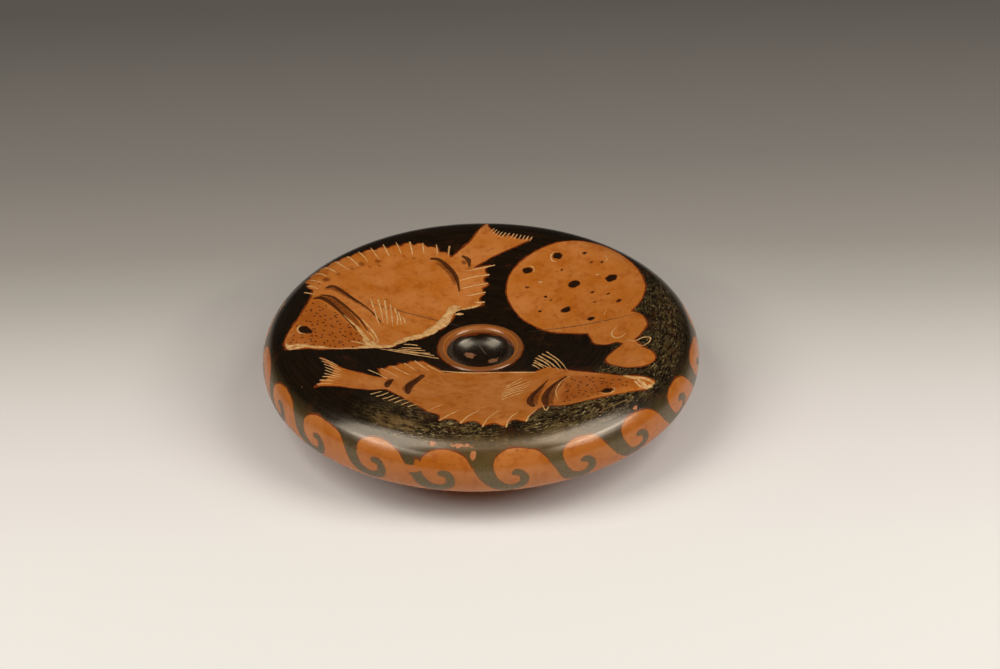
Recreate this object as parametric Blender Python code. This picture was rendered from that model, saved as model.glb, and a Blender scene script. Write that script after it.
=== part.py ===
"""Fish plate: a turned dish of fired clay with an overhanging rim and a ring foot.

The whole plate is one piece of clay. Its section is drawn once, from the bottom of the
central hollow out over the floor and the rim, down the lip, and back under to the axis,
and is then turned about the upright axis. Sizes are in metres. The plate rests on the
ground plane, with its axis on the world's Z axis.
"""
import math

import bmesh
import bpy

for old_object in list(bpy.data.objects):
    bpy.data.objects.remove(old_object, do_unlink=True)

# Overall sizes
rim_radius = 0.110
crest_radius = 0.0905
plate_height = 0.048
wall = 0.007

# Rim: how far the shoulder and the lip hang below the crest, and how far the lip tucks in
shoulder_drop = 0.0185
lip_drop = 0.027
lip_tuck = 0.004
lip_edge_height = 0.0025

# Floor and the moulded ring around the hollow, as drops below the crest
floor_drop = 0.0165
ring_outer_radius = 0.0216
ring_crest_radius = 0.0199
ring_rise = 0.0009
hollow_radius = 0.017
hollow_edge_drop = 0.01775
hollow_depth = 0.0092
hollow_wall = 0.0065

# Foot
neck_radius = 0.0445
neck_fillet = 0.005
foot_radius = 0.051
foot_wall = 0.0055
foot_edge_depth = 0.003
foot_edge_height = 0.0085
flare_height = 0.012
rest_width = 0.0065
recess_fillet = 0.004

# How finely the section and the turning are faceted
turn_steps = 80
wide_arc_steps = 7
arc_steps = 5
small_arc_steps = 3

# Heights of the section's main points above the ground
crest_height = plate_height
shoulder_height = crest_height - shoulder_drop
lip_height = crest_height - lip_drop
floor_height = crest_height - floor_drop
hollow_edge_height = crest_height - hollow_edge_drop


def arc(centre, half_width, half_height, start, end, steps):
    """Points along an upright ellipse, with angles in degrees from the outward direction."""
    points = []
    for step in range(steps + 1):
        angle = math.radians(start + (end - start) * step / steps)
        radius = centre[0] + half_width * math.cos(angle)
        height = centre[1] + half_height * math.sin(angle)
        points.append((radius, height))
    return points


def tangent_angle(point, centre, half_width, half_height):
    """Angle on an ellipse, in degrees, where the line from a point on its inner side touches its top."""
    across = (point[0] - centre[0]) / half_width
    up = (point[1] - centre[1]) / half_height
    reach = math.hypot(across, up)
    return math.degrees(math.atan2(up, across) - math.acos(1 / reach))


ring_base = (ring_outer_radius, floor_height)
shoulder_centre = (crest_radius, shoulder_height)
shoulder_width = rim_radius - crest_radius
floor_meets_shoulder = tangent_angle(ring_base, shoulder_centre, shoulder_width, shoulder_drop)
floor_end = arc(shoulder_centre, shoulder_width, shoulder_drop, floor_meets_shoulder, 0, 1)[0]
floor_slope = (floor_end[1] - floor_height) / (floor_end[0] - ring_outer_radius)
wall_under_floor = wall * math.hypot(1, floor_slope)


def underside_height(radius):
    """Height of the underside, one wall below the sloping floor."""
    return floor_height + floor_slope * (radius - ring_outer_radius) - wall_under_floor


def hollow_and_ring():
    """The bowl of the hollow, then the rounded moulding around it."""
    bowl = arc((0, hollow_edge_height), hollow_radius, hollow_depth, -90, 0, arc_steps + 1)
    ring_crest_height = floor_height + ring_rise
    inner_half = arc((ring_crest_radius, hollow_edge_height), ring_crest_radius - hollow_radius,
                     ring_crest_height - hollow_edge_height, 180, 90, small_arc_steps)
    outer_half = arc((ring_crest_radius, floor_height), ring_outer_radius - ring_crest_radius,
                     ring_rise, 90, 0, small_arc_steps)
    return bowl + inner_half[1:] + outer_half[1:]


def shoulder_and_lip():
    """The rounded shoulder, the wall of the lip curving in, and its rounded lower edge."""
    inner_half = arc(shoulder_centre, shoulder_width, shoulder_drop, floor_meets_shoulder, 90, small_arc_steps)
    outer_half = arc(shoulder_centre, shoulder_width, shoulder_drop, 90, 0, wide_arc_steps)
    lip_centre_radius = rim_radius - lip_tuck
    lip_wall = arc((lip_centre_radius, shoulder_height), lip_tuck, shoulder_height - lip_height,
                   0, -90, arc_steps)
    lip_edge = arc((lip_centre_radius, lip_height + lip_edge_height), wall - lip_tuck, lip_edge_height,
                   -90, -180, small_arc_steps)
    return inner_half + outer_half[1:] + lip_wall[1:] + lip_edge[1:]


def underside():
    """The groove behind the lip and the underside down to the foot."""
    fillet_start = (neck_radius + neck_fillet, underside_height(neck_radius + neck_fillet))
    groove_width = shoulder_width - wall
    groove_rise = shoulder_drop - wall
    meets_underside = tangent_angle(fillet_start, shoulder_centre, groove_width, groove_rise)
    groove = arc(shoulder_centre, groove_width, groove_rise, 0, meets_underside, arc_steps)
    fillet_centre = (fillet_start[0], fillet_start[1] - neck_fillet)
    fillet = arc(fillet_centre, neck_fillet, neck_fillet, 90, 180, small_arc_steps)
    return groove + fillet


def foot():
    """The flaring outside of the foot, its resting face and its inner side."""
    edge_centre = (foot_radius - foot_edge_depth, foot_edge_height / 2)
    flare_width = edge_centre[0] - neck_radius
    flare = arc((edge_centre[0], foot_edge_height + flare_height), flare_width, flare_height,
                180, 270, arc_steps)
    edge = arc(edge_centre, foot_edge_depth, foot_edge_height / 2, 90, -90, arc_steps)
    rest_inner_edge = (edge_centre[0] - rest_width, 0)
    recess_radius = neck_radius - foot_wall
    ceiling_start = recess_radius - recess_fillet
    ceiling_height = underside_height(ceiling_start)
    recess_corner = arc((ceiling_start, ceiling_height - recess_fillet), recess_fillet, recess_fillet,
                        0, 90, small_arc_steps)
    return flare + edge[1:] + [rest_inner_edge] + recess_corner


def boss():
    """The underside of the hollow, which bulges down inside the foot to the axis."""
    boss_radius = hollow_radius + hollow_wall
    boss_depth = hollow_depth + hollow_wall
    meets_ceiling = math.asin((underside_height(boss_radius) - hollow_edge_height) / boss_depth)
    return arc((0, hollow_edge_height), boss_radius, boss_depth, math.degrees(meets_ceiling), -90, arc_steps)


def turned_mesh(name, section):
    """A closed mesh made by turning a section whose two ends lie on the axis."""
    shape = bmesh.new()
    top_pole = shape.verts.new((0, 0, section[0][1]))
    bottom_pole = shape.verts.new((0, 0, section[-1][1]))
    rings = []
    for radius, height in section[1:-1]:
        ring = []
        for step in range(turn_steps):
            angle = 2 * math.pi * step / turn_steps
            ring.append(shape.verts.new((radius * math.cos(angle), radius * math.sin(angle), height)))
        rings.append(ring)
    for step in range(turn_steps):
        after = (step + 1) % turn_steps
        shape.faces.new((top_pole, rings[0][step], rings[0][after]))
        shape.faces.new((bottom_pole, rings[-1][after], rings[-1][step]))
        for inner, outer in zip(rings, rings[1:]):
            shape.faces.new((inner[step], outer[step], outer[after], inner[after]))
    bmesh.ops.recalc_face_normals(shape, faces=shape.faces[:])
    mesh = bpy.data.meshes.new(name)
    shape.to_mesh(mesh)
    shape.free()
    mesh.shade_smooth()
    return mesh


def gloss_clay():
    """Fired clay under its black gloss, the colour that covers most of the plate."""
    material = bpy.data.materials.new("black_gloss_clay")
    material.use_nodes = True
    shader = material.node_tree.nodes["Principled BSDF"]
    shader.inputs["Base Color"].default_value = (0.022, 0.015, 0.009, 1)
    shader.inputs["Roughness"].default_value = 0.35
    shader.inputs["Metallic"].default_value = 0
    return material


def make_plate():
    """The plate as one turned solid."""
    section = hollow_and_ring() + shoulder_and_lip() + underside() + foot() + boss()
    plate = bpy.data.objects.new("plate", turned_mesh("plate", section))
    plate.data.materials.append(gloss_clay())
    bpy.context.collection.objects.link(plate)


make_plate()
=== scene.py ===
import math
import random

import bpy
import numpy as np
from mathutils import Matrix, Quaternion, Vector


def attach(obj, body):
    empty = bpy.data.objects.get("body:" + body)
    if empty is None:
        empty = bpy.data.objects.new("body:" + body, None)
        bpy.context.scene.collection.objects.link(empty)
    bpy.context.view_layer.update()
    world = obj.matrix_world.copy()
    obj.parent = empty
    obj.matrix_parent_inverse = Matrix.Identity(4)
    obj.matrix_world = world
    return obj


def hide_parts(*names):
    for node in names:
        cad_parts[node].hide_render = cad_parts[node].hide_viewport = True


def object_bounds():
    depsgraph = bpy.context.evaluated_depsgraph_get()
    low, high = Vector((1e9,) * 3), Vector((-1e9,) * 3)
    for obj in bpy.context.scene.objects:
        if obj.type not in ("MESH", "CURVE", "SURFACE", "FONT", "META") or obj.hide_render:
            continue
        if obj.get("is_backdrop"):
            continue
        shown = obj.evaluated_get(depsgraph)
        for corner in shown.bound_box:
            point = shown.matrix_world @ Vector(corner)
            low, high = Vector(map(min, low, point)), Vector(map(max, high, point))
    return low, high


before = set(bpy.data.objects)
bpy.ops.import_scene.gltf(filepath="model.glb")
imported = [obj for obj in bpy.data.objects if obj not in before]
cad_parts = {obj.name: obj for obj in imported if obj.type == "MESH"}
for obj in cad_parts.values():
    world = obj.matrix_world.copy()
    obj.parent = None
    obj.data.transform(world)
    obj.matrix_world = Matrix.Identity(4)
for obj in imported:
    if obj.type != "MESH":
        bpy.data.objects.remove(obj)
solid_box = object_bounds()

# The turned plate
# One body of orange clay thrown on a wheel and trimmed: a floor that slopes to a hollow with
# a moulded ring, a thick rounded shoulder, a lip that hangs over, and a ring foot. Lengths
# here are in millimetres, and the mesh is made in metres. It stands for the solid "plate".
mm = 0.001
plate_height = 48.0
rim_radius = 110.0
crest_radius = 90.5
wall = 7.0
shoulder_drop = 18.5
lip_drop = 27.0
lip_tuck = 4.0
lip_edge_height = 2.5
floor_drop = 16.5
ring_outer_radius = 21.6
ring_crest_radius = 19.9
ring_rise = 0.9
hollow_radius = 17.0
hollow_edge_drop = 17.75
hollow_depth = 9.2
hollow_wall = 6.5
neck_radius = 44.5
neck_fillet = 5.0
foot_radius = 51.0
foot_wall = 5.5
foot_edge_depth = 3.0
foot_edge_height = 8.5
flare_height = 12.0
rest_width = 6.5
recess_fillet = 4.0

# how far apart the points of the mesh lie above and underneath, and how many go round the rim
fine_spacing = 0.86
coarse_spacing = 2.4
points_round = 640

floor_height = plate_height - floor_drop
shoulder_height = plate_height - shoulder_drop
hollow_edge_height = plate_height - hollow_edge_drop
shoulder_centre = (crest_radius, shoulder_height)
shoulder_width = rim_radius - crest_radius
lip_centre_radius = rim_radius - lip_tuck


def arc(centre, half_width, half_height, start, end, spacing):
    """Points about one spacing apart along an upright ellipse; angles in degrees from outward."""
    steps = max(3, round(math.radians(abs(end - start)) * (half_width + half_height) / 2 / spacing))
    angle = np.radians(np.linspace(start, end, steps + 1))
    return np.column_stack([centre[0] + half_width * np.cos(angle), centre[1] + half_height * np.sin(angle)])


def straight(start, end, spacing):
    """Points about one spacing apart along a straight line."""
    return np.linspace(start, end, max(1, round(math.dist(start, end) / spacing)) + 1)


def touching_angle(point, half_width, half_height):
    """Where the line from a point further in touches the shoulder's ellipse, in degrees."""
    across = (point[0] - shoulder_centre[0]) / half_width
    up = (point[1] - shoulder_centre[1]) / half_height
    return math.degrees(math.atan2(up, across) - math.acos(1 / math.hypot(across, up)))


ring_base = (ring_outer_radius, floor_height)
floor_touches = touching_angle(ring_base, shoulder_width, shoulder_drop)
shoulder = arc(shoulder_centre, shoulder_width, shoulder_drop, floor_touches, 0, fine_spacing)
floor_slope = (shoulder[0][1] - floor_height) / (shoulder[0][0] - ring_outer_radius)


def underside_height(radius):
    """Height of the underside, one wall below the sloping floor."""
    return floor_height + floor_slope * (radius - ring_outer_radius) - wall * math.hypot(1, floor_slope)


def upper_section():
    """The section from the middle of the hollow over the floor and rim to the lip's lower edge."""
    bowl = arc((0, hollow_edge_height), hollow_radius, hollow_depth, -90, 0, fine_spacing)
    ring_inside = arc((ring_crest_radius, hollow_edge_height), ring_crest_radius - hollow_radius,
                      floor_height + ring_rise - hollow_edge_height, 180, 90, fine_spacing / 2)
    ring_outside = arc((ring_crest_radius, floor_height), ring_outer_radius - ring_crest_radius,
                       ring_rise, 90, 0, fine_spacing / 2)
    dish = straight(ring_base, shoulder[0], fine_spacing)
    lip = arc((lip_centre_radius, shoulder_height), lip_tuck, lip_drop - shoulder_drop, 0, -90, fine_spacing)
    return np.vstack([bowl, ring_inside[1:], ring_outside[1:], dish[1:], shoulder[1:], lip[1:]])


def lower_section():
    """The section on from the lip's lower edge, under the plate and round the foot, to the axis."""
    lip_edge = arc((lip_centre_radius, plate_height - lip_drop + lip_edge_height), wall - lip_tuck,
                   lip_edge_height, -90, -180, fine_spacing)
    fillet_radius = neck_radius + neck_fillet
    fillet_height = underside_height(fillet_radius)
    groove_width = shoulder_width - wall
    groove_rise = shoulder_drop - wall
    groove_end = touching_angle((fillet_radius, fillet_height), groove_width, groove_rise)
    groove = arc(shoulder_centre, groove_width, groove_rise, 0, groove_end, coarse_spacing)
    fillet = arc((fillet_radius, fillet_height - neck_fillet), neck_fillet, neck_fillet, 90, 180,
                 coarse_spacing)
    edge_centre = (foot_radius - foot_edge_depth, foot_edge_height / 2)
    flare = arc((edge_centre[0], foot_edge_height + flare_height), edge_centre[0] - neck_radius,
                flare_height, 180, 270, coarse_spacing)
    foot_edge = arc(edge_centre, foot_edge_depth, foot_edge_height / 2, 90, -90, coarse_spacing / 2)
    recess_radius = neck_radius - foot_wall
    ceiling_start = recess_radius - recess_fillet
    ceiling_height = underside_height(ceiling_start)
    rest = straight(foot_edge[-1], (edge_centre[0] - rest_width, 0), coarse_spacing)
    corner = arc((ceiling_start, ceiling_height - recess_fillet), recess_fillet, recess_fillet, 0, 90,
                 coarse_spacing)
    recess_wall = straight(rest[-1], corner[0], coarse_spacing)
    boss_radius = hollow_radius + hollow_wall
    boss_depth = hollow_depth + hollow_wall
    boss_start = math.asin((underside_height(boss_radius) - hollow_edge_height) / boss_depth)
    boss = arc((0, hollow_edge_height), boss_radius, boss_depth, math.degrees(boss_start), -90,
               coarse_spacing)
    ceiling = straight(corner[-1], boss[0], coarse_spacing)
    under = straight(groove[-1], fillet[0], coarse_spacing)
    inner_lip = straight(lip_edge[-1], groove[0], coarse_spacing)
    neck = straight(fillet[-1], flare[0], coarse_spacing)
    parts = [lip_edge, inner_lip, groove, under, fillet, neck, flare, foot_edge, rest, recess_wall, corner,
             ceiling, boss]
    return np.vstack([part[1:] for part in parts])


upper = upper_section()
lower = lower_section()
section = np.vstack([upper, lower])
reach = np.concatenate([[0], np.cumsum(np.hypot(*np.diff(section, axis=0).T))])
lip_reach = reach[len(upper) - 1]
crest_reach = reach[np.argmax(upper[:, 1])]
# the finger marks of the throwing, and how much the rim waves up and down and is out of round
finger_mark = 0.028
fine_mark = 0.02
marks_start = 26
rim_waver = 0.18
out_of_round = 0.2
# the rim is sunk and drawn in a little, so that its furthest places stay within the true form
rim_sunk = 0.44
rim_drawn_in = 0.33


def unevenness(along, angle):
    """What the potter's hand left: how far out and how far up a point lies from the true turned form."""
    rim_share = np.clip(along / lip_reach, 0, 1) ** 2
    marks = finger_mark * np.sin(along * 0.95 + 0.6 * np.sin(angle)) + fine_mark * np.sin(along * 2.3 + 1.1)
    marks = marks * np.clip((along - marks_start) / 6, 0, 1) * np.clip((lip_reach - along) / 8, 0, 1)
    waver = rim_waver * np.cos(2 * angle + 0.5) + 0.08 * np.cos(5 * angle + 2)
    bulge = out_of_round * np.cos(2 * angle + 1.9) + 0.12 * np.cos(3 * angle + 0.4)
    return rim_share * (bulge - rim_drawn_in), marks + rim_share * (waver - rim_sunk)


def count_round(row):
    """How many points go round one row of the section: fewer near the axis and underneath."""
    radius = section[row][0]
    past_lip = row - len(upper)
    most = points_round if past_lip < 4 else points_round // 2 if past_lip < 8 else points_round // 4
    for limit, part in ((1.9, 16), (6.0, 8), (17.5, 4), (44.0, 2)):
        if radius < limit:
            return min(points_round // part, most)
    return most


counts = [count_round(row) for row in range(len(section))]
counts[0] = counts[-1] = 1
first_of_row = np.concatenate([[0], np.cumsum(counts)])
row_of = np.repeat(np.arange(len(section)), counts)
turn = np.concatenate([2 * np.pi * np.arange(count) / count for count in counts])
along = reach[row_of]
fade_under = np.clip(1 - (along - lip_reach - 6) / 12, 0, 1)
out, up = unevenness(np.minimum(along, lip_reach), turn)
true_radius = section[row_of, 0]
radius = true_radius + np.where(true_radius > 0, out * fade_under, 0)
height = section[row_of, 1] + up * fade_under
plan_x = radius * np.cos(turn)
plan_y = radius * np.sin(turn)


def ring_of_faces(row):
    """Corners, as rows and unwrapped steps, of the faces between one row of points and the next."""
    here, there = counts[row], counts[row + 1]
    below = row + 1
    at_axis = 1 in (here, there)
    step = np.arange(max(here, there) if at_axis else min(here, there))
    if here == there:
        corners = [[(row, step), (below, step), (below, step + 1), (row, step + 1)]]
    elif here == 1:
        corners = [[(row, 0 * step), (below, step), (below, step + 1)]]
    elif there == 1:
        corners = [[(row, step), (below, 0 * step), (row, step + 1)]]
    elif there > here:
        corners = [[(row, step), (below, 2 * step), (below, 2 * step + 1)],
                   [(row, step), (below, 2 * step + 1), (row, step + 1)],
                   [(row, step + 1), (below, 2 * step + 1), (below, 2 * step + 2)]]
    else:
        corners = [[(row, 2 * step), (below, step), (row, 2 * step + 1)],
                   [(row, 2 * step + 1), (below, step), (below, step + 1)],
                   [(row, 2 * step + 1), (below, step + 1), (row, 2 * step + 2)]]
    rows = [np.stack([[corner_row for corner_row, steps in face]] * len(step)) for face in corners]
    steps = [np.stack([steps for corner_row, steps in face], 1) for face in corners]
    return np.concatenate(rows), np.concatenate(steps)


# The finish's colours are laid out for baking on one flat sheet, measured in shares of its width: the top as
# a disc, the rim wall as three strips above it, and the underside as a small disc in the lower corner.
sheet_top_middle = 0.37
sheet_top_width = 0.735
sheet_strips = 3
sheet_first_strip = 0.745
sheet_strip_start = 0.004
sheet_strip_length = 0.985
sheet_strip_gap = 0.006
sheet_under_middle = (0.87, 0.13)
sheet_under_radius = 0.125
wall_end_reach = lip_reach + 4


def on_disc(middle_x, middle_y, distance, angle):
    """Places on the sheet at some distance and angle from a middle."""
    return np.stack([middle_x + distance * np.cos(angle), middle_y + distance * np.sin(angle)], 2)


def flat_place(rows, steps):
    """Where each corner lies on the flat colour sheet laid out for baking the finish."""
    corner_reach = reach[rows]
    angle = 2 * np.pi * steps / np.asarray(counts)[rows]
    scale = sheet_top_width / (2 * crest_reach)
    face_reach = corner_reach.mean(1, keepdims=True)
    face_angle = angle.mean(1, keepdims=True)
    top = on_disc(sheet_top_middle, sheet_top_middle, scale * corner_reach, angle)
    strip_turn = 2 * np.pi / sheet_strips
    strip = np.floor(face_angle / strip_turn + 1e-9)
    strip_rise = (wall_end_reach - crest_reach) * scale + sheet_strip_gap
    along_strip = sheet_strip_start + (angle - strip * strip_turn) / strip_turn * sheet_strip_length
    up_strip = sheet_first_strip + strip * strip_rise + (corner_reach - crest_reach) * scale
    side = np.stack([along_strip, up_strip], 2)
    share = (reach[-1] - corner_reach) / (reach[-1] - lip_reach)
    under = on_disc(*sheet_under_middle, sheet_under_radius * share, angle)
    on_top = (face_reach < crest_reach)[..., None]
    on_side = (face_reach < wall_end_reach)[..., None]
    return np.where(on_top, top, np.where(on_side, side, under))


corner_rows, corner_steps, flat_places = [], [], []
for row in range(len(section) - 1):
    rows, steps = ring_of_faces(row)
    corner_rows.append(rows)
    corner_steps.append(steps)
    flat_places.append(flat_place(rows, steps))
faces = []
for rows, steps in zip(corner_rows, corner_steps):
    wrapped = steps % np.asarray(counts)[rows]
    faces += (first_of_row[rows] + wrapped).tolist()

clay = bpy.data.meshes.new("fish_plate")
clay.from_pydata(np.column_stack([plan_x, plan_y, height]) * mm, [], faces)
bake_places = clay.uv_layers.new(name="OFBake")
bake_places.data.foreach_set("uv", np.concatenate([places.reshape(-1) for places in flat_places]))
clay.shade_smooth()
plate = bpy.data.objects.new("fish_plate", clay)
bpy.context.collection.objects.link(plate)

# The drawing on the floor
# The painter left the animals in the colour of the clay and filled in around them with black
# slip. Each figure is a few smooth lines, in millimetres from the axis, with the near side
# at -Y. Every point of the clay is told how far inside a figure it lies.
margin = 5.0


def smooth(points, spacing=0.8):
    """A smooth open line through a few points."""
    points = np.asarray(points, float)
    padded = np.vstack([2 * points[0] - points[1], points, 2 * points[-1] - points[-2]])
    line = []
    for before, start, end, after in zip(padded, padded[1:], padded[2:], padded[3:]):
        count = max(2, round(math.dist(start[:2], end[:2]) / spacing))
        share = np.linspace(0, 1, count, endpoint=False)[:, None]
        line.append(0.5 * (2 * start + (end - before) * share
                           + (2 * before - 5 * start + 4 * end - after) * share ** 2
                           + (3 * start - before - 3 * end + after) * share ** 3))
    return np.vstack(line + [points[-1:]])


def scalloped(points, count, depth):
    """A smooth line broken into arcs; they swell to the left, or bite to the right if depth is negative."""
    line = smooth(points, 0.4)
    run = np.concatenate([[0], np.cumsum(np.hypot(*np.diff(line, axis=0).T))])
    share = run / run[-1] * count
    heading = np.gradient(line, axis=0)
    left = np.column_stack([-heading[:, 1], heading[:, 0]]) / np.hypot(*heading.T)[:, None]
    return line + left * (depth * np.abs(np.sin(np.pi * share)))[:, None]


def depth_inside(outline, x, y):
    """How far each point lies inside a closed outline; points outside count below nothing."""
    outline = np.asarray(outline, float)
    depth = np.full(len(x), -margin)
    low, high = outline.min(0) - margin, outline.max(0) + margin
    near = np.flatnonzero((x > low[0]) & (x < high[0]) & (y > low[1]) & (y < high[1]))
    px, py = x[near], y[near]
    nearest = np.full(len(near), margin ** 2)
    inside = np.zeros(len(near), bool)
    for (x0, y0), (x1, y1) in zip(outline, np.roll(outline, -1, 0)):
        run_x, run_y = x1 - x0, y1 - y0
        length = run_x ** 2 + run_y ** 2 + 1e-12
        share = np.clip(((px - x0) * run_x + (py - y0) * run_y) / length, 0, 1)
        nearest = np.minimum(nearest, (px - x0 - share * run_x) ** 2 + (py - y0 - share * run_y) ** 2)
        if y0 != y1:
            inside ^= ((y0 > py) != (y1 > py)) & (px < (py - y0) * run_x / run_y + x0)
    distance = np.sqrt(nearest)
    depth[near] = np.where(inside, distance, -distance)
    return depth


bream_head = smooth([(-95.5, -20), (-97, -14.5), (-95.5, -7), (-91, 6), (-85.5, 24), (-84.5, 31)])
bream_back = scalloped([(-84.5, 33), (-87, 45), (-78, 56.5), (-62.5, 66.5), (-44.5, 73), (-30, 76),
                        (-14.5, 68.5)], 14, 1.9)
bream_tail = np.vstack([smooth([(-13.5, 69), (-4, 80), (1, 89), (6, 99)]),
                        scalloped([(6, 99), (9.5, 86.5), (28, 79.5)], 3, -1.2),
                        smooth([(28, 79.5), (11, 71), (2, 65), (-4, 60.5)])])
bream_anal_fin = scalloped([(6, 62.6), (4.6, 54), (4.6, 48), (2.6, 42), (1.8, 35.5)], 4, -2.4)
bream_belly = smooth([(1.8, 35.5), (-5, 33.3), (-12, 32), (-13.5, 26.5), (-19.5, 17.5), (-28.5, 8.3),
                      (-37, 3), (-41, -1), (-43.5, -5), (-51, -9)])
bream_jaw = smooth([(-51, -9), (-60, -12.6), (-70, -16.6), (-80, -20.4), (-90, -21.4), (-95.5, -20)])
bream = np.vstack([bream_head, bream_back, bream_tail, bream_anal_fin, bream_belly, bream_jaw])

pike_back = smooth([(-18, -25.2), (-5.5, -23.1), (10, -24), (26, -30.2)])
pike_front_fin = smooth([(26, -30.2), (32.5, -26.8), (37, -30), (46, -37)])
pike_head_top = smooth([(46, -37), (60, -46), (69, -51.8), (82.5, -53.8), (84, -57), (78, -61.4)])
pike_jaw = smooth([(78, -61.4), (67, -66.5), (56, -69.9), (46.5, -73), (39.5, -74.5), (31, -72.6)])
pike_belly_end = smooth([(31, -72.6), (27, -75.4), (23.4, -80.6), (20.4, -88.5)])
pike_belly_fin = scalloped([(20.4, -88.5), (8, -92.5), (-1, -91), (-20.2, -86)], 4, -3.6)
pike_narrow = smooth([(-20.2, -86), (-20.3, -79.6), (-25.5, -75.4), (-28.4, -71.4), (-35, -63.5),
                      (-42, -55.6), (-46, -51.8)])
pike_tail = np.vstack([smooth([(-46, -51.8), (-54, -54.7), (-66, -55.2), (-80.5, -53.4)]),
                       scalloped([(-80.5, -53.4), (-74, -46), (-72.5, -38.5), (-78.8, -28.6)], 6, -1.2),
                       smooth([(-78.8, -28.6), (-73.5, -32.2), (-65, -36.6), (-48, -40.2)])])
pike_back_fin = np.vstack([[(-48, -40.2)],
                           scalloped([(-50.2, -30.5), (-44.5, -25), (-33, -16), (-28.5, -15.3)], 4, -1.5),
                           smooth([(-28.5, -15.3), (-22, -21.2), (-18, -25.2)])])
pike = np.vstack([pike_back, pike_front_fin, pike_head_top, pike_jaw, pike_belly_end, pike_belly_fin,
                  pike_narrow, pike_tail, pike_back_fin])

ray_disc = smooth([(54.3, -1.5), (45, 2.7), (33, 10), (20, 25.4), (14.5, 42), (18, 58), (32, 71),
                   (50, 75.2), (68, 69), (80, 51), (84.5, 30), (81.5, 17), (76, 9.5)])
ray_lobes = smooth([(76, 9.5), (81, 4.5), (83, -5), (79.6, -12.7), (76.2, -17)])
ray_tail = smooth([(76.2, -17), (79.4, -26), (84.5, -33.5), (83.5, -41), (74.5, -44.7), (65, -38.5),
                   (61.6, -31), (66, -24), (70.4, -19), (68.2, -15.6)])
ray_inner_lobe = smooth([(68.2, -15.6), (62.5, -15.8), (57.3, -12.6), (55.4, -7), (54.3, -1.5)])
ray = np.vstack([ray_disc, ray_lobes, ray_tail, ray_inner_lobe])

figures = np.full(len(plan_x), -margin)
for outline in (bream, pike, ray):
    figures = np.maximum(figures, depth_inside(outline, plan_x, plan_y))
# the drawing reaches a little past the crest, and the black slip runs just over the ring's outer foot
on_top = along < crest_reach + 10
figures = np.where(on_top, figures, -margin)
slip_overlap = 0.5
ring_start = np.interp(hollow_radius, upper[:, 0], reach[:len(upper)]) - slip_overlap
ring_end = np.interp(ring_outer_radius, upper[:, 0], reach[:len(upper)]) - slip_overlap
ring_band = np.maximum(np.minimum(along - ring_start, ring_end - along), -margin)

# The running waves on the rim
# Twenty waves in black slip go round the outside of the lip, with the clay left between them.
# Each black shape hangs from the shoulder, sweeps down to the right and curls up into a hook,
# and the clay above the hook has a round crest. One wave has lost a piece of its slip.
wave_count = 20
first_wave = math.radians(-86)
full_width_waves = (0, 2, 3, 4)
lost_wave = 19
flattest = 0.4
black_band = 10.0
brush_edge = 0.3
# one wave's edge: distance round the rim to the right, and distance down past the crest
wave_stem = smooth([(-13.6, 23.5), (-10, 28.6), (-5.6, 33), (-1, 35.8), (4, 36.7), (8.6, 35.8), (12, 33.4),
                    (13.3, 30.4), (12.8, 27.2), (10.4, 24.5), (7, 23.5), (4.2, 25), (5.2, 27.1), (7.6, 27.5),
                    (8.4, 29.3), (6.4, 31.4), (2.4, 30.9), (-1, 28), (-3.1, 23.6), (-3.2, 19.6), (-1.2, 16.8),
                    (3.2, 14.6), (9, 14.4), (14, 15.8), (17.6, 18.2), (21, 23.5)])
crest_foot = 23.5
wave_outline = np.vstack([wave_stem, [(26, 23), (26, -6), (-12, -6), (-12, 18)]])


def angle_from(direction, angles):
    """How far round each angle lies from a direction, between minus and plus half a turn."""
    return (angles - direction + math.pi) % (2 * math.pi) - math.pi


rim_rows = (along > crest_reach) & (along < lip_reach + 6)
rim_drop = along[rim_rows] - crest_reach
black = black_band - rim_drop
hand = random.Random(5)
# four stems in front and on the right keep their full width; the others were drawn narrower
narrower = [0] + [hand.uniform(1.2, 4) for number in range(1, wave_count)]
narrower = [0 if number in full_width_waves else less for number, less in enumerate(narrower)]
wander = [hand.uniform(-1, 1) for number in range(wave_count)]
lower_by = [hand.uniform(-0.5, 0.7) for number in range(wave_count)]
for number in range(wave_count):
    after = (number + 1) % wave_count
    centre = first_wave + 2 * math.pi * number / wave_count + wander[number] / rim_radius
    # the crests on the plate's left and right are flatter
    flatter = flattest * math.cos(centre) ** 2
    shape = wave_outline.copy()
    shape[:, 1] += flatter * np.clip(crest_foot - shape[:, 1], 0, None) + lower_by[number]
    # the stem on the left and the slope on the right meet the neighbours without a step
    left_share = np.clip((-3.6 - shape[:, 0]) / 8, 0, 1)
    right_share = np.clip((shape[:, 0] - 10) / 9, 0, 1) * (shape[:, 1] < 25)
    shape[:, 1] += hand.uniform(-0.04, 0.04) * shape[:, 0] * (1 - left_share) * (1 - right_share)
    shape[:, 1] += (lower_by[after] - lower_by[number]) * right_share
    to_neighbour = narrower[after] + wander[after] - wander[number]
    shape[:, 0] += narrower[number] * left_share + to_neighbour * right_share
    offset = angle_from(centre, turn[rim_rows])
    near = np.abs(offset) < math.radians(17)
    beside = offset[near] * rim_radius
    stroke = depth_inside(shape, beside, rim_drop[near]) - brush_edge
    if number == lost_wave:
        lost = np.hypot((beside + 9) / 6.2, (rim_drop[near] - 23.6) / 3.6)
        stroke = np.minimum(stroke, (lost - 1) * 4)
    black[near] = np.maximum(black[near], stroke)
waves = np.full(len(plan_x), -margin)
waves[rim_rows] = -black

reserved = np.maximum(np.maximum(figures, ring_band), waves)

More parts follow.
